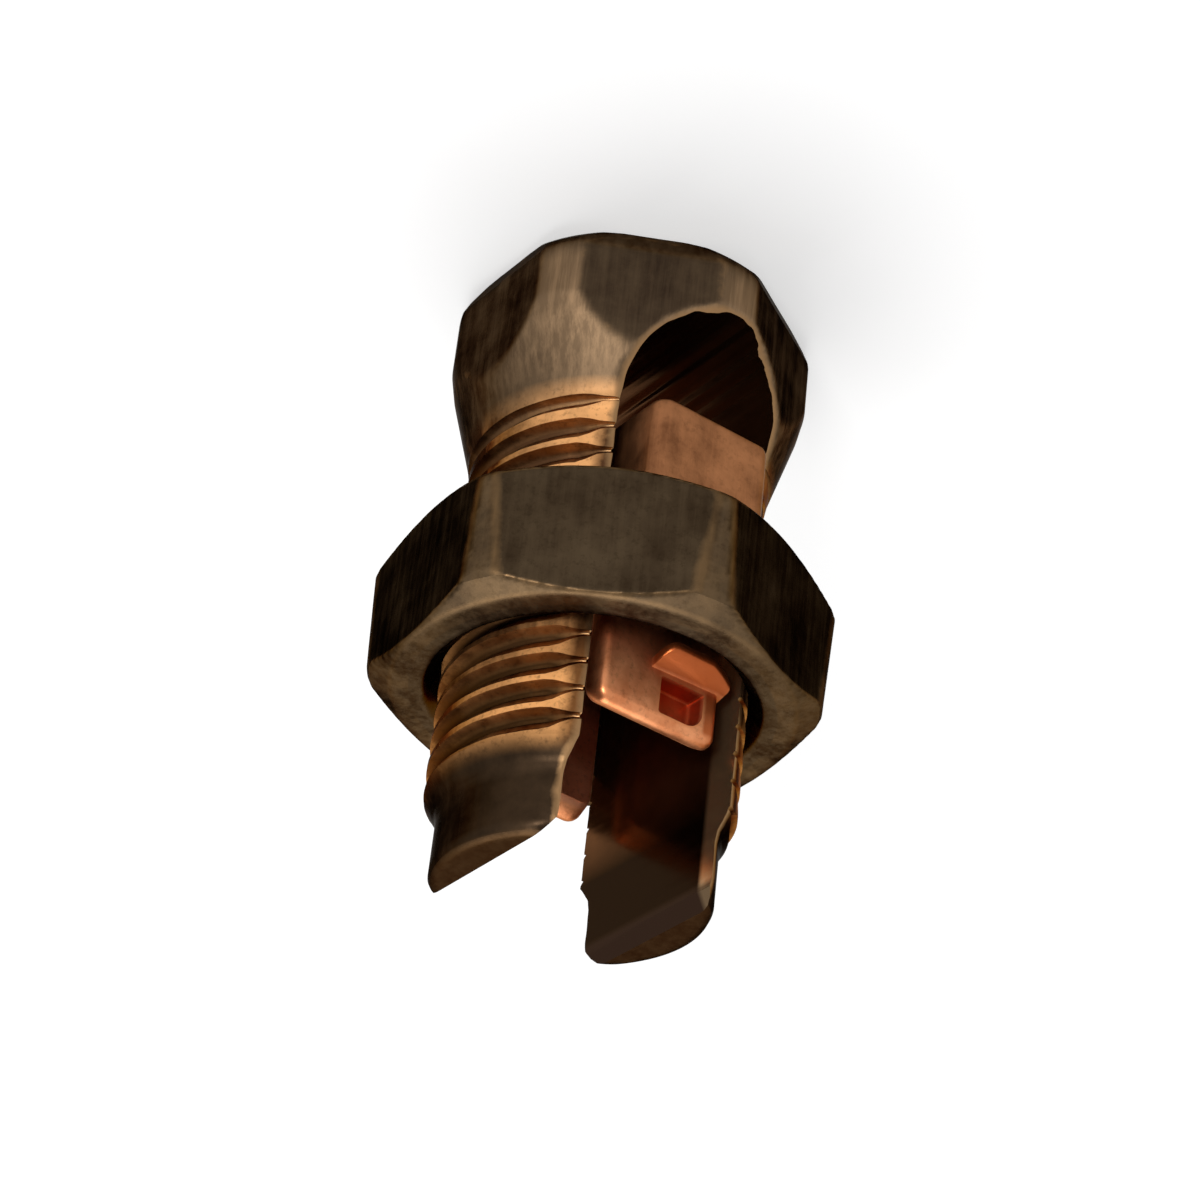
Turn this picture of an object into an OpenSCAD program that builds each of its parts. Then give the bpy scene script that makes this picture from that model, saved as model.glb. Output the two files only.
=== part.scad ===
// Split bolt connector: a slotted hex bolt, a hex nut and a copper pressure bar.
// The bolt stands on its head. +Z runs from the head to the leg tips, and the
// slot runs through along Y. The origin is the centre of the head's flat end.

/* [Thread] */
// Outside diameter of the thread
thread_d = 12.7; // [8:0.1:20]
// Distance from one crest to the next
thread_pitch = 1.27; // [0.8:0.01:2]
// Height of a crest above the root
thread_depth = 0.78; // [0.3:0.01:1]

/* [Bolt] */
// Length from the head's end to the leg tips
bolt_len = 28.5; // [24:0.1:45]
// Width across the head's flats
head_af = 14.2; // [13.5:0.1:22]
// Diameter of the round blank that the head's corners keep
head_blank_d = 15.4; // [14.5:0.1:25]
// Diameter of the head's flat end inside its chamfer
head_end_d = 13.4; // [10:0.1:20]
// Height of the chamfer round the head's end
head_chamfer_h = 1; // [0.3:0.1:3]
// Height at which the blank starts to taper into the shank
neck_start = 3.6; // [2:0.1:8]
// Height at which the taper meets the thread
neck_end = 8.6; // [6:0.1:12]
// Length of the smooth tips past the last thread
tip_len = 3; // [1:0.1:6]
// Diameter of the smooth tips
tip_d = 11.3; // [7:0.1:18]
// Width of the chamfer round the tips
tip_chamfer = 0.5; // [0.1:0.05:1]

/* [Slot] */
// Width of the slot between the legs
slot_w = 7.5; // [4.5:0.1:10]
// Metal left between the slot's round bottom and the head's end
slot_floor = 3.5; // [1.5:0.1:6]
// Width of the bevel inside each tip
lead_in_w = 0.6; // [0.1:0.05:1.5]
// Height of the bevel inside each tip
lead_in_h = 0.9; // [0.2:0.05:2]

/* [Nut] */
// Width across the nut's flats
nut_af = 17; // [14:0.1:28]
// Height of the nut
nut_h = 6.2; // [3:0.1:12]
// Height of the nut's inner face above the head's end
nut_z = 13.2; // [9:0.1:20]
// Turn of the nut about the bolt, in degrees
nut_turn = 6; // [0:1:59]
// Diameter that trims the nut's corners at its inner face
nut_corner_d_in = 19.3; // [14:0.1:34]
// Diameter that trims the nut's corners at its outer face
nut_corner_d_out = 18.8; // [14:0.1:34]
// Diameter of the flat ring on each face
nut_face_d = 16.7; // [13:0.1:28]
// Height of the chamfer at the inner face
nut_chamfer_in = 0.9; // [0.2:0.05:1.5]
// Height of the chamfer at the outer face
nut_chamfer_out = 0.6; // [0.2:0.05:1.5]
// Diameter of the countersink at the outer face
nut_sink_d_out = 14; // [9:0.1:22]
// Diameter of the countersink at the inner face
nut_sink_d_in = 13.4; // [8.5:0.1:21]
// Gap between the thread's crests and the nut's bore
bore_gap = 0.1; // [0.05:0.01:0.3]

/* [Pressure bar] */
// Gap between the bar and each leg
bar_gap = 0.75; // [0.1:0.05:1]
// Length of the bar across the bolt
bar_len = 14.2; // [10:0.1:26]
// Height of the bar's top above the nut's inner face
bar_rise = 4.6; // [2:0.1:6]
// Radius of the bar's upright edges
bar_edge_r = 0.8; // [0.1:0.05:1.5]
// Gap between the bar and the nut's inner face
seat_gap = 0.05; // [0.02:0.01:0.2]
// Gap between the ears and the thread roots
ear_gap = 0.1; // [0.05:0.05:1]
// Distance across the outer faces of the two ears
ear_span = 9.5; // [6:0.1:16]
// Thickness of an ear
ear_t = 1.3; // [0.5:0.1:2]
// How far the ears reach past the nut's outer face
ear_reach = 2.75; // [1:0.05:6]

/* [Staked tab] */
// Width of the punched window in an ear
window_w = 2.2; // [0.8:0.1:3]
// Depth of the punched window
window_depth = 0.9; // [0.2:0.05:1.5]
// Metal left between the window and the ear's end
window_margin = 0.45; // [0.2:0.05:1]
// Width of the tab where it leaves the ear
tab_w = 4; // [1:0.1:5]
// How far the tab stands out of the ear
tab_out = 1.25; // [0.3:0.05:2]
// Thickness of the tab
tab_t = 0.7; // [0.3:0.05:1.5]
// Height of the tab's underside past the nut's outer face
tab_drop = 0.6; // [0.2:0.05:1.5]
// Offset of the tab's middle from the ear's middle
tab_shift = 1.3; // [0:0.05:2]

/* [Hidden] */

cut = 1;                 // how far a cut runs past the metal
wide = 60;               // larger than the whole connector
hex_sides = 6;
round_fn = 96;

thread_r = thread_d / 2;
root_r = thread_r - thread_depth;
thread_end = bolt_len - tip_len;
turns = floor((thread_end - neck_end) / thread_pitch);
crest_flat = thread_pitch / 8;
root_flat = thread_pitch / 4;
flank_h = (thread_pitch - crest_flat - root_flat) / 2;

slot_r = slot_w / 2;
slot_arc_z = slot_floor + slot_r;

nut_top = nut_z + nut_h;
bore_r = thread_r + bore_gap;

bar_w = slot_w - 2 * bar_gap;
bar_top = nut_z - bar_rise;
bar_seat = nut_z - seat_gap;
ear_end = nut_top + ear_reach;
ear_r = root_r - ear_gap;
tab_z = nut_top + tab_drop - tab_t;
window_z = nut_top + tab_drop;
tab_root = 0.3;          // how far the tab runs into the ear
tab_r = (tab_w * tab_w / 4 + tab_out * tab_out) / (2 * tab_out);

// A hexagonal prism with two corners on the Y axis
module hex_prism(af, h) {
    rotate([0, 0, 30]) cylinder(d = af / cos(30), h = h, $fn = hex_sides);
}

// One crest of the thread as the outline of a ring, starting at height z
function crest(z) = [
    [root_r, z + root_flat],
    [thread_r, z + root_flat + flank_h],
    [thread_r, z + root_flat + flank_h + crest_flat],
    [root_r, z + thread_pitch]
];

// The round blank: chamfered end, straight band and taper into the shank
function blank_outline() = [
    [0, 0],
    [head_end_d / 2, 0],
    [head_blank_d / 2, head_chamfer_h],
    [head_blank_d / 2, neck_start],
    [thread_r, neck_end],
    [0, neck_end]
];

// The threaded shank, its crests drawn as rings, with smooth chamfered tips
function shank_outline() = concat(
    [[0, slot_floor], [root_r, slot_floor]],
    [for (i = [0:turns - 1]) each crest(neck_end + i * thread_pitch)],
    [[root_r, thread_end],
     [tip_d / 2, thread_end + flank_h],
     [tip_d / 2, bolt_len - tip_chamfer],
     [tip_d / 2 - tip_chamfer, bolt_len],
     [0, bolt_len]]
);

module hex_head() {
    intersection() {
        hex_prism(head_af, neck_end);
        rotate_extrude($fn = round_fn) polygon(blank_outline());
    }
}

module slot() {
    rotate([90, 0, 0])
        linear_extrude(wide, center = true) {
            translate([0, slot_arc_z]) circle(slot_r, $fn = round_fn);
            translate([-slot_r, slot_arc_z]) square([slot_w, bolt_len]);
        }
}

// The bevels that open the slot's mouth between the tips
module lead_in() {
    rotate([90, 0, 0])
        linear_extrude(wide, center = true)
            polygon([
                [-slot_r, bolt_len - lead_in_h],
                [slot_r, bolt_len - lead_in_h],
                [slot_r + lead_in_w, bolt_len],
                [slot_r + lead_in_w, bolt_len + cut],
                [-slot_r - lead_in_w, bolt_len + cut],
                [-slot_r - lead_in_w, bolt_len]
            ]);
}

module split_bolt() {
    color("#5c4630")
        difference() {
            union() {
                hex_head();
                rotate_extrude($fn = round_fn) polygon(shank_outline());
            }
            slot();
            lead_in();
        }
}

// The drafted and chamfered envelope that trims the hexagon's corners
function nut_outline() = [
    [0, 0],
    [nut_face_d / 2, 0],
    [nut_corner_d_in / 2, nut_chamfer_in],
    [nut_corner_d_out / 2, nut_h - nut_chamfer_out],
    [nut_face_d / 2, nut_h],
    [0, nut_h]
];

module hex_nut() {
    sink_out = nut_sink_d_out / 2 - bore_r;
    sink_in = nut_sink_d_in / 2 - bore_r;
    color("#4a3b28")
        translate([0, 0, nut_z])
            difference() {
                intersection() {
                    rotate([0, 0, nut_turn]) hex_prism(nut_af, nut_h);
                    rotate_extrude($fn = round_fn) polygon(nut_outline());
                }
                translate([0, 0, -cut])
                    cylinder(r = bore_r, h = nut_h + 2 * cut, $fn = round_fn);
                translate([0, 0, nut_h - sink_out])
                    cylinder(r1 = bore_r, r2 = bore_r + sink_out + cut, h = sink_out + cut, $fn = round_fn);
                translate([0, 0, -cut])
                    cylinder(r1 = bore_r + sink_in + cut, r2 = bore_r, h = sink_in + cut, $fn = round_fn);
            }
}

// A block with rounded upright edges, standing on z = 0
module rounded_block(w, l, h, r) {
    linear_extrude(h) {
        square([w - 2 * r, l], center = true);
        square([w, l - 2 * r], center = true);
        for (x = [-1, 1], y = [-1, 1])
            translate([x * (w / 2 - r), y * (l / 2 - r)]) circle(r, $fn = round_fn);
    }
}

// The two ears that pass through the nut between the legs
module ears() {
    intersection() {
        translate([-bar_w / 2, -ear_span / 2, bar_seat - cut / 2])
            cube([bar_w, ear_span, ear_end - bar_seat + cut / 2]);
        cylinder(r = ear_r, h = ear_end, $fn = round_fn);
    }
}

// The open space between the ears
module ear_space() {
    gap = ear_span - 2 * ear_t;
    translate([-bar_w / 2 - cut, -gap / 2, nut_z])
        cube([bar_w + 2 * cut, gap, wide]);
}

// The window and the tab on the ear at the -Y end
module window() {
    translate([-window_w, -ear_span / 2 - cut, window_z])
        cube([window_w, window_depth + cut, ear_end - window_margin - window_z]);
}

module tab() {
    intersection() {
        translate([-tab_shift, -ear_span / 2 - tab_out + tab_r, tab_z])
            cylinder(r = tab_r, h = tab_t, $fn = round_fn);
        translate([-wide / 2, -ear_span / 2 - tab_out - cut, tab_z])
            cube([wide, tab_out + cut + tab_root, tab_t]);
    }
}

module pressure_bar() {
    color("#8a5530")
        union() {
            translate([0, 0, bar_top])
                rounded_block(bar_w, bar_len, bar_seat - bar_top, bar_edge_r);
            difference() {
                ears();
                ear_space();
                for (a = [0, 180]) rotate([0, 0, a]) window();
            }
            for (a = [0, 180]) rotate([0, 0, a]) tab();
        }
}

split_bolt();
hex_nut();
pressure_bar();
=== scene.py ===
import math

import bmesh
import bpy
import numpy as np
from mathutils import Matrix, Vector, noise


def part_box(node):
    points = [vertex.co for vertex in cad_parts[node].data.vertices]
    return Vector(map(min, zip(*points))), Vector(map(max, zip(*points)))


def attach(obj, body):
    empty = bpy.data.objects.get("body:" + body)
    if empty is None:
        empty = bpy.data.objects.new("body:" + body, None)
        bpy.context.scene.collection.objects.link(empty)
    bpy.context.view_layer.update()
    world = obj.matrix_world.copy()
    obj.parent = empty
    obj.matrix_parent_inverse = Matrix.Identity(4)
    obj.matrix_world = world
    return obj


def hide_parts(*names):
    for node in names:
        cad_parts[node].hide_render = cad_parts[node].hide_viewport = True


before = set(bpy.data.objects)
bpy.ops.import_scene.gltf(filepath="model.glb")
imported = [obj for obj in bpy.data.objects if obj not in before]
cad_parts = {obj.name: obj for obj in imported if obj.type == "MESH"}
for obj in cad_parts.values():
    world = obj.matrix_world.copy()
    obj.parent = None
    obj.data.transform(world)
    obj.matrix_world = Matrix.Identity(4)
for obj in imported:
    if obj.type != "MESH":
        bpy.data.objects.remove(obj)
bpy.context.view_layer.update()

# --- Split bolt ---
# One piece of bronze, forged with a hex head, threaded, then slotted from the
# tips into the head so that two legs are left. The head's flats are pressed
# into a round blank, which still shows between them and tapers up into the neck.
MM = 0.001
TURN = 2 * math.pi
COLUMNS = 320

_, bolt_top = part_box("split_bolt")
bolt_length = bolt_top[2]
pitch = 1.27 * MM
crest_radius = 6.35 * MM
thread_depth = 0.66 * MM
blank_radius = 7.7 * MM
head_flat = 7.1 * MM
head_corner = TURN / 4
neck_start = 3.6 * MM
neck_end = 8.6 * MM
thread_end = bolt_length - 3.95 * MM
tip_radius = 5.72 * MM
slot_half = 3.75 * MM
slot_centre = 3.5 * MM + slot_half
worn_mouth = 0.4 * MM
groove_start = 7.32 * MM
groove_width = 1.22 * MM
thread_turns = 13.75
bevel_width = 0.4 * MM
bevel_height = 0.7 * MM


def soft_min(a, b, blend):
    """The smaller of two radii, rounded over where they cross."""
    share = np.maximum(blend - np.abs(a - b), 0) / blend
    return np.minimum(a, b) - share * share * blend / 4


def hexagon(angles, flat, turned):
    """Radius of a hexagon at each angle, with a corner at the angle turned."""
    past = np.mod(angles - turned, TURN / 6) - TURN / 12
    return flat / np.cos(past)


def fill(stations, step):
    """Adds points to a list of (height, radius) so that none is over a step apart."""
    points = [stations[0]]
    for start, end in zip(stations, stations[1:]):
        pieces = max(1, math.ceil(math.dist(start, end) / step))
        for i in range(1, pieces + 1):
            share = i / pieces
            points.append(tuple(s + (e - s) * share for s, e in zip(start, end)))
    return points


def in_scene(name, data):
    """Makes a mesh, lamp or camera an object of the scene."""
    piece = bpy.data.objects.new(name, data)
    bpy.context.collection.objects.link(piece)
    return piece


def turned_mesh(name, heights, radii, closed):
    """A mesh of rings round Z. closed joins the last ring to the first, and open ends get a cap."""
    angles = np.linspace(0, TURN, COLUMNS, endpoint=False)
    rows = len(heights)
    points = np.zeros((rows, COLUMNS, 3))
    points[:, :, 0] = radii * np.cos(angles)
    points[:, :, 1] = radii * np.sin(angles)
    points[:, :, 2] = heights[:, None]
    faces = []
    last = rows if closed else rows - 1
    for row in range(last):
        low = row * COLUMNS
        high = (row + 1) % rows * COLUMNS
        for column in range(COLUMNS):
            after = (column + 1) % COLUMNS
            faces.append((low + column, low + after, high + after, high + column))
    if not closed:
        faces.append(tuple(range(COLUMNS - 1, -1, -1)))
        faces.append(tuple((rows - 1) * COLUMNS + column for column in range(COLUMNS)))
    mesh = bpy.data.meshes.new(name)
    mesh.from_pydata(points.reshape(-1, 3).tolist(), [], faces)
    mesh.validate()
    return in_scene(name, mesh)


def slot_distance(x, z):
    """How far a point lies outside the slot's outline, seen along Y; negative inside it."""
    across = np.abs(x)
    round_part = np.hypot(across, np.minimum(z - slot_centre, 0)) - slot_half
    return np.where(z < slot_centre, round_part, across - slot_half)


def wander(x, y, z, size):
    """Smooth uneven values from -1 to 1, a size apart."""
    points = np.stack(np.broadcast_arrays(x, y, z), -1).reshape(-1, 3) / size
    values = [noise.noise(point) for point in points]
    return np.array(values).reshape(np.broadcast(x, y, z).shape)


neck_slope = (blank_radius - crest_radius) / (neck_end - neck_start)
blank_outline = fill([
    (0, 0.4 * MM),
    (0, 6.78 * MM),
    (0.1 * MM, 6.98 * MM),
    (0.6 * MM, 7.46 * MM),
    (1 * MM, 7.66 * MM),
    (1.3 * MM, blank_radius),
    (neck_start, blank_radius),
    (neck_start + 1 * MM, blank_radius - 0.2 * MM),
    (neck_end - 0.4 * MM, crest_radius + 0.12 * MM),
    (neck_end + 0.4 * MM, crest_radius),
], 0.17 * MM)
blank_outline += fill([
    (neck_end + 0.8 * MM, crest_radius),
    (thread_end, crest_radius),
], 0.6 * MM)
blank_outline += fill([
    (thread_end + 0.2 * MM, crest_radius - 0.15 * MM),
    (thread_end + 0.8 * MM, tip_radius + 0.1 * MM),
    (thread_end + 1.3 * MM, tip_radius),
    (bolt_length - 0.36 * MM, tip_radius),
    (bolt_length - 0.12 * MM, tip_radius - 0.1 * MM),
    (bolt_length - 0.02 * MM, tip_radius - 0.26 * MM),
    (bolt_length, tip_radius - 0.4 * MM),
    (bolt_length, 0.4 * MM),
], 0.2 * MM)
heights, radii = (np.array(values) for values in zip(*blank_outline))
angles = np.linspace(0, TURN, COLUMNS, endpoint=False)
grid = np.repeat(radii[:, None], COLUMNS, axis=1)
# The flats draw in a little at the flat end
draft = 0.5 * MM * np.clip(1 - heights / (1.2 * MM), 0, 1)[:, None]
flats = hexagon(angles, head_flat, head_corner) - draft
in_head = (heights < neck_end)[:, None]
grid = np.where(in_head, soft_min(grid, flats, 0.1 * MM), grid)

# The mouth of the slot is worn back where its walls meet the outside
x = grid * np.cos(angles)
y = grid * np.sin(angles)
z = np.repeat(heights[:, None], COLUMNS, axis=1)
ragged = 1 + 0.7 * wander(x, y, z, 0.9 * MM)
mouth_width = worn_mouth * np.clip((neck_end + 1 * MM - z) / (2 * MM), 0.4, 1) * ragged
past_edge = np.clip(slot_distance(x, z) / mouth_width, 0, 1)
on_side = grid > 4.5 * MM
grid = np.where(on_side, grid - mouth_width * 0.65 * (1 - past_edge) ** 2, grid)
# The corners of the tips are rounded off beside the slot
tip_round = 0.55 * MM * np.clip((z - bolt_length + 1.3 * MM) / (1.3 * MM), 0, 1) ** 2
past_corner = np.clip(slot_distance(x, z) / (0.9 * MM), 0, 1)
grid = np.where(on_side, grid - tip_round * (1 - past_corner) ** 2, grid)
bolt = turned_mesh("split_bolt_body", heights, grid, closed=False)


class Tree:
    """A node tree that is written a node at a time, each with its inputs."""

    def __init__(self, tree):
        self.tree = tree

    def feed(self, socket, value):
        """Links a socket to another one, or sets its plain value."""
        if isinstance(value, bpy.types.NodeSocket):
            self.tree.links.new(value, socket)
        else:
            socket.default_value = value

    def add(self, kind, inputs=(), out=0, **settings):
        node = self.tree.nodes.new(kind)
        for label, value in settings.items():
            setattr(node, label, value)
        for label, value in dict(inputs).items():
            self.feed(node.inputs[label], value)
        return node.outputs[out] if out is not None else node

    def math(self, operation, *values):
        return self.add("ShaderNodeMath", dict(enumerate(values)), operation=operation)

    def spread(self, value, low, high, new_low=0.0, new_high=1.0):
        return self.add("ShaderNodeMapRange", {"Value": value, "From Min": low, "From Max": high,
                                               "To Min": new_low, "To Max": new_high})

    def mix(self, share, first, second):
        return self.add("ShaderNodeMix", {0: share, 6: first, 7: second}, out=2, data_type="RGBA")

    def split(self, vector):
        return self.add("ShaderNodeSeparateXYZ", {0: vector}, out=None).outputs

    def uneven(self, value, clouds, amount):
        """A value made ragged by clouds that run from 0 to 1."""
        centred = self.math("SUBTRACT", clouds, 0.5)
        return self.math("ADD", value, self.math("MULTIPLY", centred, amount))


def thread_tree():
    """Geometry Nodes that cut one right-handed groove round a blank.

    The groove is a smooth wave in section, swept along a helix. It fades in over the run out,
    follows the neck's cone, and is shallower where it meets the slot. A negative depth cuts
    inward from the radius, for a bolt, and a positive one outward, for a nut.
    """
    group = bpy.data.node_groups.new("cut_thread", "GeometryNodeTree")
    group.interface.new_socket("Blank", in_out="INPUT", socket_type="NodeSocketGeometry")
    for label in ("Pitch", "Turns", "Radius", "Depth", "Width", "Start Height", "Run Out", "Cone Height",
                  "Cone Slope", "Slot Half Width", "Edge Size", "Batter"):
        group.interface.new_socket(label, in_out="INPUT", socket_type="NodeSocketFloat")
    group.interface.new_socket("Material", in_out="INPUT", socket_type="NodeSocketMaterial")
    group.interface.new_socket("Threaded", in_out="OUTPUT", socket_type="NodeSocketGeometry")
    tree = Tree(group)
    given = group.nodes.new("NodeGroupInput").outputs

    helix = tree.add("GeometryNodeCurveSpiral", {
        "Resolution": 90, "Rotations": given["Turns"], "Start Radius": given["Radius"],
        "End Radius": given["Radius"], "Height": tree.math("MULTIPLY", given["Pitch"], given["Turns"]),
        "Reverse": True})
    start = tree.add("ShaderNodeCombineXYZ", {"Z": given["Start Height"]})
    helix = tree.add("GeometryNodeTransform", {"Geometry": helix, "Translation": start})
    spot = tree.add("GeometryNodeInputPosition")
    parts = tree.split(spot)
    below = tree.math("MAXIMUM", tree.math("SUBTRACT", given["Cone Height"], parts["Z"]), 0.0)
    flat_spot = tree.add("ShaderNodeVectorMath", {0: spot, 1: (1, 1, 0)}, operation="MULTIPLY")
    outward = tree.add("ShaderNodeVectorMath", {0: flat_spot}, operation="NORMALIZE")
    push = tree.add("ShaderNodeVectorMath", {
        0: outward, "Scale": tree.math("MULTIPLY", below, given["Cone Slope"])}, operation="SCALE")
    helix = tree.add("GeometryNodeSetPosition", {"Geometry": helix, "Offset": push})
    helix = tree.add("GeometryNodeSetCurveNormal", {"Curve": helix}, mode="Z_UP")

    along = tree.add("GeometryNodeSplineParameter")
    turns_done = tree.math("MULTIPLY", along, given["Turns"])
    fade = tree.math("MINIMUM", tree.math("DIVIDE", turns_done, given["Run Out"]), 1.0)
    fade = tree.math("MAXIMUM", fade, 0.03)
    outside = tree.math("SUBTRACT", tree.math("ABSOLUTE", parts["X"]), given["Slot Half Width"])
    shallow = tree.add("ShaderNodeMapRange", {
        "Value": outside, "From Min": 0.0, "From Max": 0.9 * MM, "To Min": given["Edge Size"],
        "To Max": 1.0}, interpolation_type="SMOOTHSTEP")
    uneven = tree.add("ShaderNodeTexNoise", {"Vector": spot, "Scale": 700.0, "Detail": 1.0})
    batter = tree.math("MULTIPLY", tree.math("SUBTRACT", uneven, 0.65), given["Batter"])
    size = tree.math("MULTIPLY", tree.math("MULTIPLY", fade, shallow), tree.math("ADD", 1.0, batter))

    # The section: a wave down into the metal on one side, a low lid outside it on the other
    ring = tree.add("GeometryNodeCurvePrimitiveCircle", {"Resolution": 28, "Radius": 1.0})
    point = tree.split(tree.add("GeometryNodeInputPosition"))
    wave = tree.math("POWER", tree.math("COSINE", tree.math("MULTIPLY", point["X"], math.pi / 2)), 2.0)
    lid = tree.math("MULTIPLY", tree.math("MULTIPLY", point["Y"], given["Depth"]), -0.6)
    cut = tree.math("MULTIPLY", wave, given["Depth"])
    below_lid = tree.math("LESS_THAN", point["Y"], 0.0)
    rise = tree.add("ShaderNodeMix", {0: below_lid, 2: lid, 3: cut}, data_type="FLOAT")
    half_width = tree.math("MULTIPLY", tree.math("MULTIPLY", point["X"], given["Width"]), 0.5)
    moved = tree.add("ShaderNodeCombineXYZ", {"X": half_width, "Y": rise})
    section = tree.add("GeometryNodeSetPosition", {"Geometry": ring, "Position": moved})
    groove = tree.add("GeometryNodeCurveToMesh", {"Curve": helix, "Profile Curve": section, "Scale": size,
                                                 "Fill Caps": True})
    cut_out = tree.add("GeometryNodeMeshBoolean", {"Mesh 1": given["Blank"], "Mesh 2": groove},
                       operation="DIFFERENCE", solver="MANIFOLD")
    whole = tree.add("GeometryNodeRealizeInstances", {0: cut_out})
    finished = tree.add("GeometryNodeSetMaterial", {"Geometry": whole, "Material": given["Material"]})
    group.links.new(finished, group.nodes.new("NodeGroupOutput").inputs[0])
    return group


cut_thread = thread_tree()


def bake(piece):
    """Turns a piece and its modifiers into a plain mesh."""
    shaped = piece.evaluated_get(bpy.context.evaluated_depsgraph_get())
    mesh = bpy.data.meshes.new_from_object(shaped)
    piece.modifiers.clear()
    piece.data = mesh


def wind(piece, material, **sizes):
    """Cuts a thread in a piece and keeps the result as its plain mesh."""
    modifier = piece.modifiers.new("thread", "NODES")
    modifier.node_group = cut_thread
    sockets = {item.name: item.identifier for item in cut_thread.interface.items_tree}
    for label, value in sizes.items():
        modifier[sockets[label.replace("_", " ")]] = float(value)
    modifier[sockets["Material"]] = material
    bake(piece)


def prism(name, outline, low, high):
    """A solid with the given (x, z) outline, from low to high along Y."""
    build = bmesh.new()
    near = [build.verts.new((x, low, z)) for x, z in outline]
    far = [build.verts.new((x, high, z)) for x, z in outline]
    build.faces.new(near)
    build.faces.new(far)
    for i in range(len(outline)):
        j = (i + 1) % len(outline)
        build.faces.new((near[i], near[j], far[j], far[i]))
    bmesh.ops.recalc_face_normals(build, faces=build.faces)
    return from_bmesh(name, build)


def from_bmesh(name, build):
    """Makes a bmesh an object of the scene."""
    mesh = bpy.data.meshes.new(name)
    build.to_mesh(mesh)
    build.free()
    return in_scene(name, mesh)


def join_shapes(piece, other, operation):
    """Cuts another solid out of a piece, or joins it on, and removes the other."""
    modifier = piece.modifiers.new(operation.lower(), "BOOLEAN")
    modifier.operation = operation
    modifier.solver = "MANIFOLD"
    modifier.material_mode = "TRANSFER"
    modifier.object = other
    bake(piece)
    bpy.data.objects.remove(other)


def smooth(piece, angle):
    """Shades a piece smooth, but sharp over edges steeper than an angle in degrees."""
    piece.data.shade_smooth()
    piece.data.set_sharp_from_angle(angle=math.radians(angle))


def colour(written):
    """A colour written as #rrggbb, as the linear values that a shader takes."""
    parts = [int(written[i:i + 2], 16) / 255 for i in (1, 3, 5)]
    return [p / 12.92 if p <= 0.04045 else ((p + 0.055) / 1.055) ** 2.4 for p in parts] + [1]


def shader_group(name, inputs, outputs):
    """An empty shader node group with named sockets."""
    group = bpy.data.node_groups.new(name, "ShaderNodeTree")
    for label, kind in inputs.items():
        group.interface.new_socket(label, in_out="INPUT", socket_type="NodeSocket" + kind)
    for label, kind in outputs.items():
        group.interface.new_socket(label, in_out="OUTPUT", socket_type="NodeSocket" + kind)
    tree = Tree(group)
    return group, tree, group.nodes.new("NodeGroupInput").outputs, group.nodes.new("NodeGroupOutput").inputs


def tarnish_group():
    """Cloudy tarnish with small darker specks."""
    group, tree, given, results = shader_group(
        "tarnish", {"Vector": "Vector", "Size": "Float"}, {"Clouds": "Float", "Specks": "Float"})
    scale = tree.math("DIVIDE", 1.0, given["Size"])
    clouds = tree.add("ShaderNodeTexNoise", {"Vector": given["Vector"], "Scale": scale, "Detail": 5.0,
                                             "Roughness": 0.62})
    tree.feed(results["Clouds"], tree.spread(clouds, 0.35, 0.68))
    fine = tree.math("MULTIPLY", scale, 9.0)
    specks = tree.add("ShaderNodeTexNoise", {"Vector": given["Vector"], "Scale": fine, "Detail": 3.0,
                                             "Roughness": 0.7})
    tree.feed(results["Specks"], tree.spread(specks, 0.52, 0.72))
    return group


def brush_group():
    """Fine scratches left by a brush or a die, drawn out along one direction."""
    group, tree, given, results = shader_group(
        "brush_marks", {"Vector": "Vector", "Stretch": "Vector"}, {"Height": "Float", "Streaks": "Float"})
    drawn = tree.add("ShaderNodeVectorMath", {0: given["Vector"], 1: given["Stretch"]}, operation="MULTIPLY")
    fine = tree.add("ShaderNodeTexNoise", {"Vector": drawn, "Scale": 9000.0, "Detail": 3.0,
                                           "Roughness": 0.6})
    broad = tree.add("ShaderNodeTexNoise", {"Vector": drawn, "Scale": 2600.0, "Detail": 4.0,
                                            "Roughness": 0.7})
    both = tree.math("ADD", tree.math("MULTIPLY", fine, 0.5), tree.math("MULTIPLY", broad, 0.5))
    tree.feed(results["Height"], both)
    tree.feed(results["Streaks"], tree.spread(broad, 0.42, 0.66))
    return group


tarnish = tarnish_group()
brush_marks = brush_group()


def new_material(name):
    """A material with an empty Principled shader, and its tree."""
    material = bpy.data.materials.new(name)
    material.use_nodes = True
    tree = Tree(material.node_tree)
    shader = material.node_tree.nodes["Principled BSDF"]
    return material, tree, shader


def new_metal(name, cloud_size, stretch):
    """A new material with tarnish and brush marks, and the X, Y and Z of each spot in the object."""
    material, tree, shader = new_material(name)
    spot = tree.add("ShaderNodeTexCoord", out=3)
    patina = {"Vector": spot, "Size": cloud_size}
    patina = tree.add("ShaderNodeGroup", patina, out=None, node_tree=tarnish).outputs
    brush = {"Vector": spot, "Stretch": stretch}
    brush = tree.add("ShaderNodeGroup", brush, out=None, node_tree=brush_marks).outputs
    return material, tree, shader, tree.split(spot), patina, brush


def from_axis(tree, parts):
    """Distance from the bolt's axis."""
    squares = [tree.math("POWER", part, 2.0) for part in (parts[0], parts[1])]
    return tree.math("SQRT", tree.math("ADD", *squares))


def brushed(tree, shader, brush, strength, depth):
    """Gives a shader the relief of its brush marks."""
    bump = tree.add("ShaderNodeBump", {"Height": brush["Height"], "Strength": strength, "Distance": depth})
    tree.feed(shader.inputs["Normal"], bump)


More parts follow.
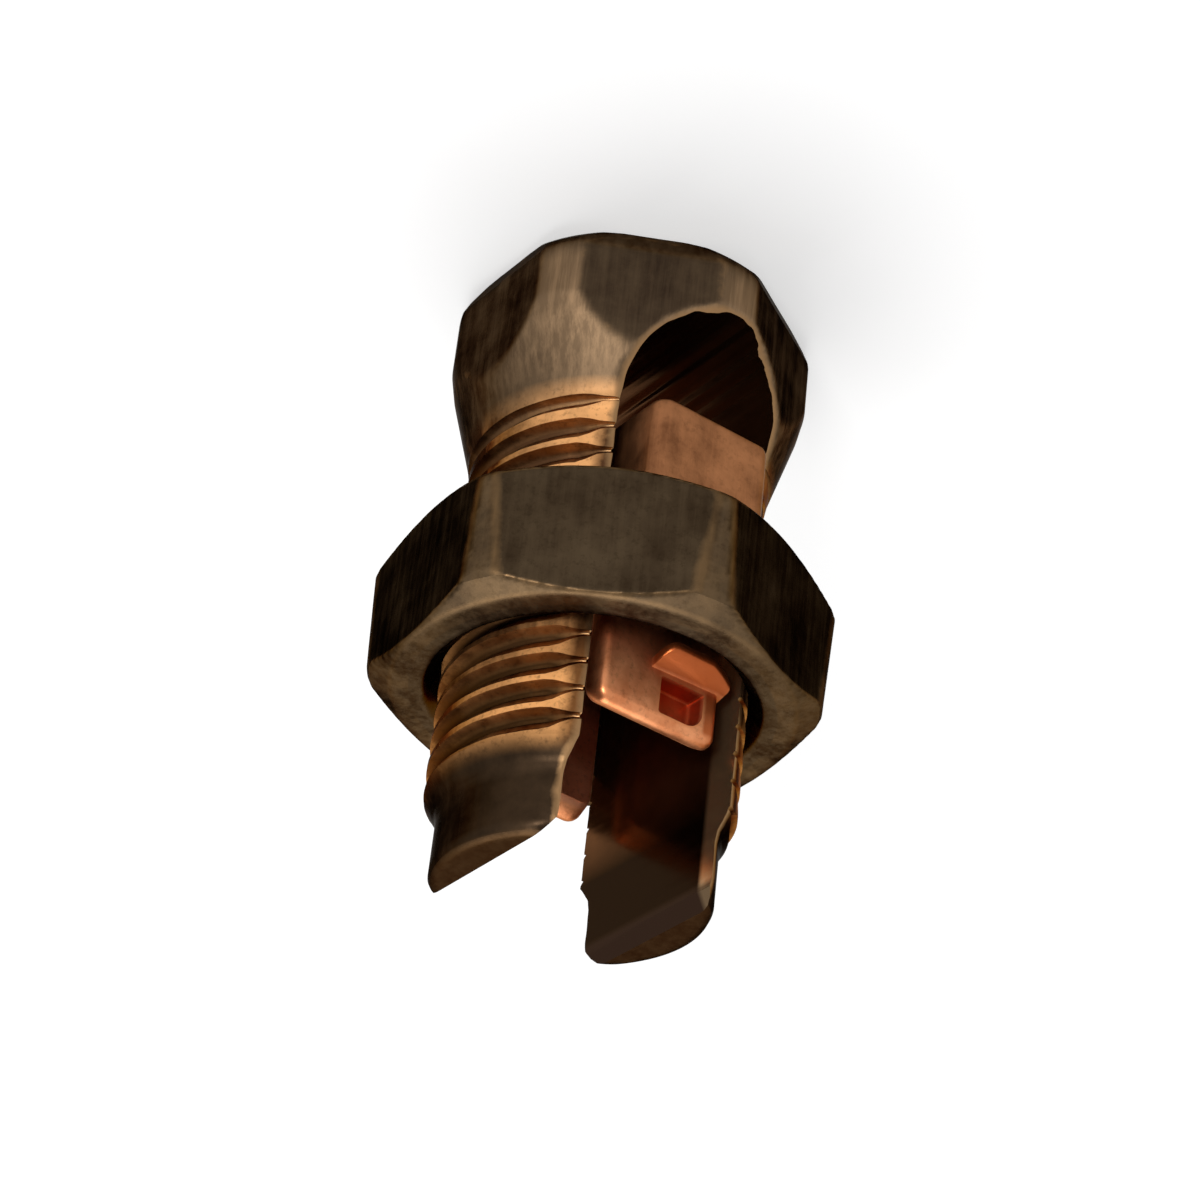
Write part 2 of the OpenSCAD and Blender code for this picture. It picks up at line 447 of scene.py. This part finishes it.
def bolt_bronze():
    """Oxidised bronze, bright where rubbing wore the edges and golden on the thread's crests, with a painted
    highlight on the side towards the camera and painted shade along the slot's edges.
    """
    material, tree, shader, parts, patina, brush = new_metal("bolt_bronze", 2.2 * MM, (1, 1, 0.06))
    wear = tree.add("ShaderNodeAttribute", out=2, attribute_name="wear")
    worn = tree.spread(tree.uneven(wear, patina["Clouds"], 0.45), 0.3, 0.85)
    across = from_axis(tree, parts)
    crest = tree.spread(across, crest_radius - thread_depth * 0.8, crest_radius - 0.04 * MM)
    # Rub and painted highlight, kept per vertex: brightest beside the mouths and on the side towards the
    # camera, with painted shade along the slot's edges
    rubbed = tree.add("ShaderNodeAttribute", out=2, attribute_name="rubbed")
    shank = tree.spread(parts[2], neck_end - 1.2 * MM, neck_end + 0.4 * MM)
    beyond_nut = tree.spread(parts[2], 15 * MM, 21 * MM)
    tip = tree.spread(parts[2], thread_end - 0.6 * MM, thread_end + 0.6 * MM)
    skin = tree.mix(patina["Clouds"], colour("#35291f"), colour("#4b3d2e"))
    skin = tree.mix(tree.math("MULTIPLY", brush["Streaks"], 0.28), skin, colour("#5e4d3a"))
    # The blank's brightening carries the painted highlight too, less on the neck's cone
    polish_and_sheen = tree.math("MULTIPLY", rubbed, tree.spread(brush["Streaks"], 0, 1, 0.5, 1.0))
    polish_and_sheen = tree.math("MULTIPLY", polish_and_sheen, tree.spread(parts[2], 4.5 * MM, 7.5 * MM, 1.0, 0.42))
    skin = tree.mix(tree.math("MULTIPLY", polish_and_sheen, 0.9), skin, colour("#93775a"))
    golden = tree.mix(beyond_nut, colour("#d89e66"), colour("#dc9e62"))
    dull = tree.mix(beyond_nut, colour("#4d3320"), colour("#6b4526"))
    # Crests turn golden where the rub and the painted highlight are strong, duller elsewhere
    bright = tree.spread(tree.math("ADD", rubbed, tree.math("MULTIPLY", patina["Clouds"], 0.5)), 0.4, 1.2)
    groove = tree.mix(beyond_nut, colour("#4c3320"), colour("#33200f"))
    thread = tree.mix(crest, groove, tree.mix(bright, dull, golden))
    thread = tree.mix(tree.math("MULTIPLY", patina["Specks"], 0.5), thread, colour("#3c2a18"))
    thread = tree.mix(tip, thread, tree.mix(patina["Clouds"], colour("#281e15"), colour("#3a2c1f")))
    end_face = tree.spread(parts[2], bolt_length - 0.2 * MM, bolt_length - 0.05 * MM)
    thread = tree.mix(end_face, thread, colour("#3f2e1e"))
    skin = tree.mix(shank, skin, thread)
    skin = tree.mix(worn, skin, colour("#8c6c4a"))
    tree.feed(shader.inputs["Base Color"], skin)
    shader.inputs["Metallic"].default_value = 1.0
    shader.inputs["Specular Tint"].default_value = (0.15, 0.12, 0.09, 1)
    rough = tree.math("ADD", 0.3, tree.math("MULTIPLY", patina["Clouds"], 0.14))
    rough = tree.math("ADD", rough, tree.math("MULTIPLY", brush["Streaks"], 0.1))
    tree.feed(shader.inputs["Roughness"], rough)
    brushed(tree, shader, brush, 0.22, 0.03 * MM)
    return material


def slot_wall():
    """The sawn walls of the slot, brown with oxide and a little shiny, and darkened by painted shade deep in
    the slot and towards the tips.
    """
    material, tree, shader, parts, patina, brush = new_metal("slot_wall_bronze", 3 * MM, (1, 0.08, 1))
    skin = tree.mix(patina["Clouds"], colour("#6e472c"), colour("#8a5a38"))
    skin = tree.mix(tree.math("MULTIPLY", brush["Streaks"], 0.12), skin, colour("#94623e"))
    # Painted shade: the walls are darkened deep in the slot towards the head, and darker still towards the
    # tips
    skin = tree.mix(tree.spread(parts[2], 15 * MM, 10 * MM, 0.0, 0.6), skin, colour("#20160c"))
    skin = tree.mix(tree.spread(parts[2], 21 * MM, 24.5 * MM), skin, colour("#201208"))
    # One long edge of each leg is lighter, part rub and part painted sheen, and the bevelled ends are dark
    one_side = tree.math("MULTIPLY", parts[1], tree.math("SIGN", parts[0]))
    rubbed = tree.spread(one_side, 3.3 * MM, 3.6 * MM)
    rubbed = tree.math("MULTIPLY", rubbed, tree.spread(parts[2], 13 * MM, 15 * MM))
    skin = tree.mix(rubbed, skin, colour("#c4a47a"))
    rim = tree.spread(parts[2], bolt_length - 1.1 * MM, bolt_length - 0.8 * MM)
    skin = tree.mix(tree.math("MULTIPLY", rim, 0.8), skin, colour("#33231a"))
    tree.feed(shader.inputs["Base Color"], skin)
    shader.inputs["Metallic"].default_value = 0.93
    shader.inputs["Specular Tint"].default_value = (0.54, 0.51, 0.47, 1)
    tree.feed(shader.inputs["Roughness"], tree.spread(brush["Streaks"], 0.0, 1.0, 0.16, 0.24))
    brushed(tree, shader, brush, 0.08, 0.02 * MM)
    return material


wind(bolt, bolt_bronze(), Pitch=pitch, Turns=thread_turns, Radius=crest_radius, Depth=-thread_depth,
     Width=groove_width, Start_Height=groove_start, Run_Out=1.5, Cone_Height=neck_end,
     Cone_Slope=neck_slope, Slot_Half_Width=slot_half + 0.3 * MM, Edge_Size=0.3, Batter=0.2)

# The slot is cut last, through the thread and into the head, with a bevel inside each tip.
# Its round bottom wanders in and out a little, in broad waves and in fine ones.
arc = []
for turn in np.linspace(math.pi, TURN, 73):
    broad_wave = 0.24 * MM * noise.noise((turn * 2.6, 3.7, 0))
    fine_wave = 0.12 * MM * noise.noise((turn * 8, 1.2, 5))
    reach = slot_half + (broad_wave + fine_wave) * math.sin(turn) ** 2
    arc.append((reach * math.cos(turn), slot_centre + reach * math.sin(turn)))
bevel_low = bolt_length - bevel_height
bevel_out = slot_half + bevel_width
past_tips = bolt_length + 1 * MM
mouth = arc + [
    (slot_half, bevel_low),
    (bevel_out, bolt_length),
    (bevel_out, past_tips),
    (-bevel_out, past_tips),
    (-bevel_out, bolt_length),
    (-slot_half, bevel_low),
]
slot = prism("slot", mouth, -12 * MM, 12 * MM)
slot.data.materials.append(slot_wall())
join_shapes(bolt, slot, "DIFFERENCE")
smooth(bolt, 32)


def store(piece, **amounts):
    """Keeps an amount for each vertex, which the material reads by its label."""
    for label, values in amounts.items():
        attribute = piece.data.attributes.new(label, "FLOAT", "POINT")
        attribute.data.foreach_set("value", values.astype(np.float32))


spots = np.array([vertex.co for vertex in bolt.data.vertices])
x, y, z = spots.T
reach = np.hypot(x, y)
past = np.abs(slot_distance(x, z))
mouth_wear = np.clip(1 - past / (worn_mouth * 1.1), 0, 1)
flat_reach = hexagon(np.arctan2(y, x), head_flat, head_corner)
profile = np.interp(z, heights, radii)
edge_wear = np.clip(1 - np.abs(flat_reach - profile) / (0.2 * MM), 0, 1)
edge_wear = np.where((z < neck_end) & (flat_reach < profile + 0.2 * MM), edge_wear, 0)
wear = np.maximum(mouth_wear, edge_wear * 0.3)
# Part real and part painted highlight: the round blank was polished by the die and the wires rub it beside
# the mouths, and the amounts round the bolt are highest on the side towards the camera, standing in for
# where the light catches it
on_blank = np.clip((flat_reach - reach) / (0.06 * MM), 0, 1) * np.clip((z - 0.7 * MM) / (1.2 * MM), 0, 1)
sheen_turns = np.radians([-180, -150, -120, -90, -60, -30, -12, 15, 60, 90, 120, 150, 180])
rub_and_sheen_amounts = [0.35, 0.6, 0.5, 0.9, 0.9, 1.0, 0.5, 0.08, 0.5, 0.9, 0.6, 0.35, 0.35]
rub = np.interp(np.arctan2(y, x), sheen_turns, rub_and_sheen_amounts)
# Painted shade: the threads along the slot's edges get far less of the brightening, so they look shaded
# there
painted_edge_shade = np.clip((np.abs(x) - slot_half - 0.3 * MM) / (0.45 * MM), 0, 1)
painted_edge_shade = np.where(z > neck_end + 1 * MM, 0.15 + 0.85 * painted_edge_shade, 1)
rubbed = np.where(z < neck_end, on_blank, 1) * rub * painted_edge_shade
store(bolt, wear=wear, rubbed=rubbed)
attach(bolt, "bolt")
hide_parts("split_bolt")

# --- Hex nut ---
# A bronze hex nut with chamfered corners and a countersink at each end, run on
# over both legs. It pushes the pressure bar along. Its countersinks and bore are
# cleaner than its faces.
nut_low, nut_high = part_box("hex_nut")
nut_base, nut_top = nut_low[2], nut_high[2]
nut_flat = 8.5 * MM
nut_turned = math.radians(6)
nut_corner = nut_turned + TURN / 12
face_radius = 8.35 * MM
minor_radius = crest_radius + 0.04 * MM
nut_groove = 0.45 * MM
nut_groove_width = 1.2 * MM
nut_turns = 6.7
# Half a pitch off the bolt's groove, so that the nut's grooves lie over the bolt's crests
nut_groove_start = groove_start + 3.5 * pitch
sink_out = 7 * MM
sink_in = 6.7 * MM

nut_outline = fill([
    (nut_base, sink_in),
    (nut_base, face_radius - 0.14 * MM),
    (nut_base + 0.03 * MM, face_radius),
    (nut_base + 0.78 * MM, 9.53 * MM),
    (nut_base + 1.0 * MM, 9.66 * MM),
    (nut_top - 0.7 * MM, 9.42 * MM),
    (nut_top - 0.5 * MM, 9.3 * MM),
    (nut_top - 0.04 * MM, face_radius + 0.05 * MM),
    (nut_top, face_radius - 0.12 * MM),
    (nut_top, sink_out + 0.06 * MM),
    (nut_top - 0.04 * MM, sink_out - 0.03 * MM),
    (nut_top - sink_out + minor_radius, minor_radius),
    (nut_base + sink_in - minor_radius, minor_radius),
    (nut_base + 0.04 * MM, sink_in - 0.03 * MM),
], 0.2 * MM)
nut_heights, nut_radii = (np.array(values) for values in zip(*nut_outline))
nut_flats = hexagon(angles, nut_flat, nut_corner)
grid = np.repeat(nut_radii[:, None], COLUMNS, axis=1)
outside = (nut_radii > 7.5 * MM)[:, None]
grid = np.where(outside, soft_min(grid, np.broadcast_to(nut_flats, grid.shape), 0.16 * MM), grid)
nut = turned_mesh("hex_nut_body", nut_heights, grid, closed=True)


def nut_bronze():
    """Darker bronze, with brush marks on the flats, edges worn by rubbing, and painted shade that darkens
    some flats more than others.
    """
    material, tree, shader, parts, patina, brush = new_metal("nut_bronze", 2.6 * MM, (1, 1, 0.06))
    wear = tree.add("ShaderNodeAttribute", out=2, attribute_name="wear")
    worn = tree.spread(tree.uneven(wear, patina["Clouds"], 0.5), 0.35, 0.95)
    # Painted shade: the stored shade mixes each flat between the dark and the light tarnish
    tone = tree.add("ShaderNodeAttribute", out=2, attribute_name="tone")
    machined = tree.spread(from_axis(tree, parts), sink_out + 0.1 * MM, sink_out - 0.05 * MM)
    dark = tree.mix(patina["Clouds"], colour("#0d0803"), colour("#1a120a"))
    light = tree.mix(patina["Clouds"], colour("#403224"), colour("#574836"))
    skin = tree.mix(tone, dark, light)
    streaks = tree.math("MULTIPLY", tree.math("MULTIPLY", brush["Streaks"], tone), 0.28)
    skin = tree.mix(streaks, skin, colour("#5c4d3a"))
    skin = tree.mix(tree.math("MULTIPLY", patina["Specks"], 0.35), skin, colour("#1d150b"))
    skin = tree.mix(tree.math("MULTIPLY", worn, 0.6), skin, colour("#6c5337"))
    skin = tree.mix(machined, skin, colour("#4a3420"))
    tree.feed(shader.inputs["Base Color"], skin)
    shader.inputs["Metallic"].default_value = 1.0
    shader.inputs["Specular Tint"].default_value = (0.15, 0.12, 0.09, 1)
    rough = tree.math("ADD", 0.3, tree.math("MULTIPLY", patina["Clouds"], 0.14))
    rough = tree.math("ADD", rough, tree.math("MULTIPLY", brush["Streaks"], 0.12))
    rough = tree.math("SUBTRACT", rough, tree.math("MULTIPLY", machined, 0.15))
    tree.feed(shader.inputs["Roughness"], rough)
    brushed(tree, shader, brush, 0.22, 0.03 * MM)
    return material


wind(nut, nut_bronze(), Pitch=pitch, Turns=nut_turns, Radius=minor_radius, Depth=nut_groove,
     Width=nut_groove_width, Start_Height=nut_groove_start, Run_Out=0.1, Cone_Height=0, Cone_Slope=0,
     Slot_Half_Width=-1, Edge_Size=1, Batter=0)
smooth(nut, 30)

spots = np.array([vertex.co for vertex in nut.data.vertices])
x, y, z = spots.T
reach = np.hypot(x, y)
flat_reach = hexagon(np.arctan2(y, x), nut_flat, nut_corner)
# The radius that the corners are trimmed to, by height
outer = np.interp(z, [nut_base, nut_base + 0.9 * MM, nut_top - 0.6 * MM, nut_top],
                  [face_radius, 9.62 * MM, 9.4 * MM, face_radius])
corner_wear = np.clip(1 - np.abs(flat_reach - outer) / (0.25 * MM), 0, 1)
rounded = np.where(outer < flat_reach, 0.55, 0)
end_wear = np.clip(1 - np.abs(reach - face_radius) / (0.2 * MM), 0, 1)
end_wear = end_wear * ((z > nut_top - 0.3 * MM) | (z < nut_base + 0.3 * MM))
sink_wear = np.clip(1 - np.abs(reach - sink_out) / (0.12 * MM), 0, 1) * (z > nut_top - 0.3 * MM) * 0.6
wear = np.where(reach > 7.5 * MM, np.maximum(np.maximum(corner_wear, rounded), end_wear), sink_wear)
# Painted shade: each flat gets its own darkness, darkest on the two beside the flat that faces the camera,
# and the faces and everything off the flats stay at the light end
flat_tones = np.array([0.55, 0.3, 0.5, 0.35, 0.55, 0.3])
flat_number = np.floor(np.mod(np.arctan2(y, x) - nut_turned + TURN / 4, TURN) / (TURN / 6)).astype(int)
on_flat = (reach > 8.2 * MM) & (np.abs(reach - flat_reach) < 0.1 * MM)
tone = np.where(on_flat, flat_tones[flat_number % 6], 1)
store(nut, wear=wear, tone=tone)
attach(nut, "nut")
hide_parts("hex_nut")

# --- Pressure bar ---
# A copper block between the legs that presses on the wires. Its two ears pass
# through the nut and a tab punched out of each ear keeps the nut on the bar.
bar_low, bar_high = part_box("pressure_bar")
# The block and ears are narrower than the node, whose box takes in the tabs
bar_half = 3 * MM
bar_end = bar_high[1]
bar_face = bar_low[2]
bar_seat = 13.15 * MM
ear_outer = 4.75 * MM
# The ears start inside the block, so that the two join
ear_foot = bar_seat - 1 * MM
ear_tip = bar_high[2]
ear_draw_in = 0.2 * MM
window_width = 2.2 * MM
window_low = 19.95 * MM
window_high = 21.7 * MM
tab_reach = 1.02 * MM
tab_arc = 6.07 * MM
tab_slope = 0.55
# From one side of the tab to the other, in mm from the ear's middle
tab_from = -3.08
tab_to = 0.5


def rounded_outline(low_x, high_x, low_y, high_y, corners, inset):
    """Points round a rectangle drawn in by an inset; corners are the radii, from the lowest x and y on."""
    points = []
    steps = 8
    sides = ((low_x, low_y, 2), (high_x, low_y, 3), (high_x, high_y, 0), (low_x, high_y, 1))
    for (x, y, quarter), corner in zip(sides, corners):
        corner = max(corner - inset, 0.03 * MM)
        in_x = 1 if x == low_x else -1
        in_y = 1 if y == low_y else -1
        centre_x = x + in_x * (inset + corner)
        centre_y = y + in_y * (inset + corner)
        for i in range(steps + 1):
            turn = (quarter + i / steps) * TURN / 4
            points.append((centre_x + corner * math.cos(turn), centre_y + corner * math.sin(turn)))
    return points


def stacked(name, rows, axes):
    """A solid made of outlines of equal length; each row is a height and its outline."""
    build = bmesh.new()
    loops = []
    for height, outline in rows:
        loops.append([build.verts.new([(a, b, height)[axes[i]] for i in range(3)]) for a, b in outline])
    count = len(loops[0])
    for low, high in zip(loops, loops[1:]):
        for i in range(count):
            j = (i + 1) % count
            build.faces.new((low[i], low[j], high[j], high[i]))
    build.faces.new(loops[0])
    build.faces.new(loops[-1])
    bmesh.ops.recalc_face_normals(build, faces=build.faces)
    return from_bmesh(name, build)


# Height above the lower face and inset of the outline, in mm
block_insets = ((0, 0.36), (0.03, 0.24), (0.1, 0.15), (0.2, 0.11), (0.34, 0.09), (1.2, 0.08), (3.4, 0.08),
                (3.7, 0.05), (3.9, 0.01), (4.05, 0), (4.35, 0), (4.5, 0.05), (4.55, 0.14))
block_rows = []
for height, inset in block_insets:
    outline = rounded_outline(-bar_half, bar_half, -bar_end, bar_end, [0.8 * MM] * 4, inset * MM)
    block_rows.append((bar_face + height * MM, outline))
bar = stacked("pressure_bar_body", block_rows, (0, 1, 2))

# Depth, inset of the outline, and how far the end is cut back, in mm
ear_insets = ((-4.75, 0.36, 0), (-4.73, 0.25, 0), (-4.66, 0.13, 0), (-4.55, 0.05, 0), (-4.4, 0, 0),
              (-4.2, 0, 0), (-3.7, 0, 0.3), (-3.53, 0.04, 0.38), (-3.45, 0.12, 0.42))
ear_corners = [0.1 * MM, 0.1 * MM, 0.6 * MM, 0.55 * MM]
window_corners = [0.12 * MM, 0.12 * MM, 0.15 * MM, 0.8 * MM]
# Height and inset of the tab's outline, in mm
tab_insets = ((19.34, 0.12), (19.37, 0.04), (19.46, 0), (19.66, 0), (19.75, 0.04), (19.79, 0.12))
for side in (1, -1):
    ear_rows = []
    for depth, inset, cut_back in ear_insets:
        outline = rounded_outline(-bar_half, bar_half - ear_draw_in, ear_foot, ear_tip - cut_back * MM,
                                  ear_corners, inset * MM)
        outline = [(across * side, up) for across, up in outline]
        ear_rows.append((depth * MM * side, outline))
    join_shapes(bar, stacked("ear", ear_rows, (0, 2, 1)), "UNION")
    # The punch that opened the window threw up the tab
    window_rows = []
    for depth, inset in ((-5.5, 0), (-3.8, 0.06)):
        outline = rounded_outline(-window_width, 0, window_low, window_high, window_corners, inset * MM)
        window_rows.append((depth * MM * side, outline))
    window = stacked("window", window_rows, (0, 2, 1))
    if side < 0:
        window.data.transform(Matrix.Scale(-1, 4, (1, 0, 0)))
        window.data.flip_normals()
    join_shapes(bar, window, "DIFFERENCE")
    tab_rows = []
    for height, inset in tab_insets:
        points = [(tab_to * MM, -0.4 * MM), (tab_from * MM, -0.4 * MM)]
        for share in np.linspace(0, 1, 31).tolist():
            across = (tab_from + share * (tab_to - tab_from)) * MM
            outer = min(math.sqrt(tab_arc ** 2 - across ** 2) - ear_outer, tab_reach)
            # The end near the ear's middle is a quarter round
            end_turn = min(max((across + 0.1 * MM) / (0.6 * MM), 0), 1)
            outer *= math.sqrt(1 - end_turn ** 2)
            points.append((across, max(outer - inset * MM, 0)))
        outline = [(px * side, -(ear_outer + py) * side) for px, py in points]
        tab_rows.append((height * MM, outline))
    tab = stacked("tab", tab_rows, (0, 1, 2))
    # Its free edge is driven down towards the nut
    for vertex in tab.data.vertices:
        past_ear = max(abs(vertex.co.y) - ear_outer, 0)
        vertex.co.z -= past_ear * tab_slope
    join_shapes(bar, tab, "UNION")


def bar_copper():
    """Drawn copper gone brown, pinker where it has been worn by rubbing or sheared, with painted shade on
    the block's sides, by the nut and inside the windows, and a painted highlight on the ears' inner faces.
    """
    material, tree, shader, parts, patina, brush = new_metal("bar_copper", 2.4 * MM, (1, 1, 0.08))
    bevel = tree.add("ShaderNodeBevel", {"Radius": 0.4 * MM}, samples=8)
    facing = tree.add("ShaderNodeNewGeometry", out=1)
    turn = tree.add("ShaderNodeVectorMath", {0: bevel, 1: facing}, out=1, operation="DOT_PRODUCT")
    edge = tree.spread(turn, 0.985, 0.86)
    worn = tree.spread(tree.uneven(edge, patina["Clouds"], 0.4), 0.3, 0.95)
    ears = tree.spread(parts[2], 17 * MM, 18.5 * MM)
    # Sheared metal stays bright on the tab and on the thin web beside the window
    out_of_ear = tree.spread(tree.math("ABSOLUTE", parts[1]), ear_outer, ear_outer + 0.15 * MM)
    along_ear = tree.math("MULTIPLY", parts[0], tree.math("SIGN", parts[1]))
    above_tab = tree.spread(parts[2], 19.6 * MM, 19.9 * MM)
    level_with_window = tree.math("MULTIPLY", above_tab, tree.spread(parts[2], 21.9 * MM, 21.6 * MM))
    web = tree.math("MULTIPLY", tree.spread(along_ear, 2.2 * MM, 2.35 * MM), level_with_window)
    sheared = tree.math("MULTIPLY", tree.math("MAXIMUM", out_of_ear, web), ears)
    past_middle = tree.spread(along_ear, 0, 0.1 * MM)
    in_window = tree.math("MULTIPLY", past_middle, tree.spread(along_ear, 2.3 * MM, 2.2 * MM))
    window_shade = tree.spread(tree.math("ABSOLUTE", parts[1]), 4.7 * MM, 4.5 * MM)
    window_shade = tree.math("MULTIPLY", tree.math("MULTIPLY", window_shade, in_window), level_with_window)
    skin = tree.mix(patina["Clouds"], colour("#6b4228"), colour("#a06b46"))
    skin = tree.mix(tree.math("MULTIPLY", brush["Streaks"], 0.35), skin, colour("#a86f48"))
    skin = tree.mix(ears, skin, tree.mix(patina["Clouds"], colour("#bd6f44"), colour("#e8a070")))
    # Painted shade: the block's long sides are made a little darker than its ends
    painted_side_shade = tree.spread(tree.math("ABSOLUTE", parts[0]), 2.5 * MM, 2.85 * MM, 0.0, 0.15)
    skin = tree.mix(tree.math("MULTIPLY", painted_side_shade, tree.math("SUBTRACT", 1.0, ears)), skin, colour("#4f2d1a"))
    # Painted highlight: the ears' inner faces are made a light pink, brighter than the copper round them
    inner_face_sheen = tree.spread(tree.math("ABSOLUTE", parts[1]), 3.7 * MM, 3.5 * MM)
    skin = tree.mix(tree.math("MULTIPLY", inner_face_sheen, ears), skin, colour("#f2a880"))
    # Painted shade: the ears are made darker and redder where they come out of the nut
    shade_by_nut = tree.math("MULTIPLY", tree.spread(parts[2], 20.2 * MM, 19.2 * MM, 0.0, 0.6), ears)
    skin = tree.mix(shade_by_nut, skin, colour("#b85632"))
    # Painted shade with a painted red bounce of light: the faces inside each window are made a deep red
    skin = tree.mix(tree.math("MULTIPLY", window_shade, 0.9), skin, colour("#a03c1a"))
    skin = tree.mix(tree.math("MULTIPLY", patina["Specks"], 0.3), skin, colour("#4a2a18"))
    skin = tree.mix(tree.math("MULTIPLY", worn, 0.8), skin, colour("#d98a58"))
    skin = tree.mix(tree.math("MULTIPLY", sheared, 0.85), skin, colour("#a04e24"))
    tree.feed(shader.inputs["Base Color"], skin)
    shader.inputs["Metallic"].default_value = 0.85
    shader.inputs["Specular Tint"].default_value = (0.5, 0.4, 0.3, 1)
    rough = tree.math("ADD", 0.3, tree.math("MULTIPLY", patina["Clouds"], 0.15))
    tree.feed(shader.inputs["Roughness"], rough)
    brushed(tree, shader, brush, 0.3, 0.03 * MM)
    return material


bar.data.materials.clear()
bar.data.materials.append(bar_copper())
smooth(bar, 32)
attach(bar, "bar")
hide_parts("pressure_bar")

# --- Floor, lights and camera ---
# A plain pale floor that the head's flat end stands on, one large soft lamp
# overhead, a smaller one beside the camera and an even sky.
floor_build = bmesh.new()
bmesh.ops.create_grid(floor_build, x_segments=1, y_segments=1, size=2.0)
floor = from_bmesh("floor", floor_build)
floor.data.transform(Matrix.Translation((0, 0, -0.03 * MM)))


def seen_or_mirrored(tree):
    """1 for what the camera sees, straight or in metal, and 0 for light that falls on the object."""
    path = tree.add("ShaderNodeLightPath", out=None).outputs
    direct = tree.math("MAXIMUM", path["Is Camera Ray"], path["Is Glossy Ray"])
    return tree.math("MAXIMUM", direct, path["Is Transmission Ray"])


floor_material, tree, shader = new_material("pale_floor")
shader.inputs["Base Color"].default_value = (0.65, 0.65, 0.65, 1)
shader.inputs["Roughness"].default_value = 0.9
shader.inputs["Emission Color"].default_value = (1, 1, 1, 1)
# The lamps light the floor less further out, so there it glows more to stay as pale
spot = tree.add("ShaderNodeTexCoord", out=3)
away = tree.add("ShaderNodeVectorMath", {0: spot}, out=1, operation="LENGTH")
glow = tree.spread(away, 0.06, 0.5, 0.52, 0.9)
tree.feed(shader.inputs["Emission Strength"], tree.math("MULTIPLY", seen_or_mirrored(tree), glow))
floor.data.materials.append(floor_material)

world = bpy.data.worlds.new("sky")
world.use_nodes = True
bpy.context.scene.world = world
tree = Tree(world.node_tree)
sky = world.node_tree.nodes["Background"]
sky.inputs["Color"].default_value = (1, 1, 1, 1)
tree.feed(sky.inputs["Strength"], tree.spread(seen_or_mirrored(tree), 0, 1, 0.2, 1.0))

elevation = math.radians(32.713)
azimuth = math.radians(33.14)
roll = math.radians(6.664)
distance = 146.587 * MM
level = np.array([math.sin(azimuth), -math.cos(azimuth), 0])
side = np.array([-math.cos(azimuth), -math.sin(azimuth), 0])
upright = np.array([0, 0, 1])
back = math.cos(elevation) * level + math.sin(elevation) * upright
image_up = math.sin(elevation) * level - math.cos(elevation) * upright
image_right = np.cross(-back, image_up)
right = math.cos(roll) * image_right + math.sin(roll) * image_up
up = -math.sin(roll) * image_right + math.cos(roll) * image_up
target = 14.212 * MM * upright - 0.193 * MM * side
lens = bpy.data.cameras.new("camera")
lens.lens = 105.1
lens.sensor_width = 36
lens.clip_start = 0.01
camera = in_scene("camera", lens)
placed = np.eye(4)
placed[:3, 0], placed[:3, 1], placed[:3, 2] = right, up, back
placed[:3, 3] = target + back * distance
camera.matrix_world = Matrix(placed.tolist())
bpy.context.scene.camera = camera


def soft_lamp(name, place, size, power):
    """A square lamp that faces the connector's middle."""
    light = bpy.data.lights.new(name, "AREA")
    light.size = size
    light.energy = power
    lamp = in_scene(name, light)
    aim = Vector(place) - Vector((0, 0, 14 * MM))
    lamp.matrix_world = Matrix.Translation(place) @ aim.to_track_quat("Z", "Y").to_matrix().to_4x4()


soft_lamp("overhead_lamp", tuple(level * -0.1 + upright * 0.34 + side * -0.04), 0.25, 0.75)
soft_lamp("front_lamp", tuple(level * 0.34 + upright * 0.1 + side * -0.1), 0.13, 0.8)
bpy.context.scene.view_settings.view_transform = "Standard"
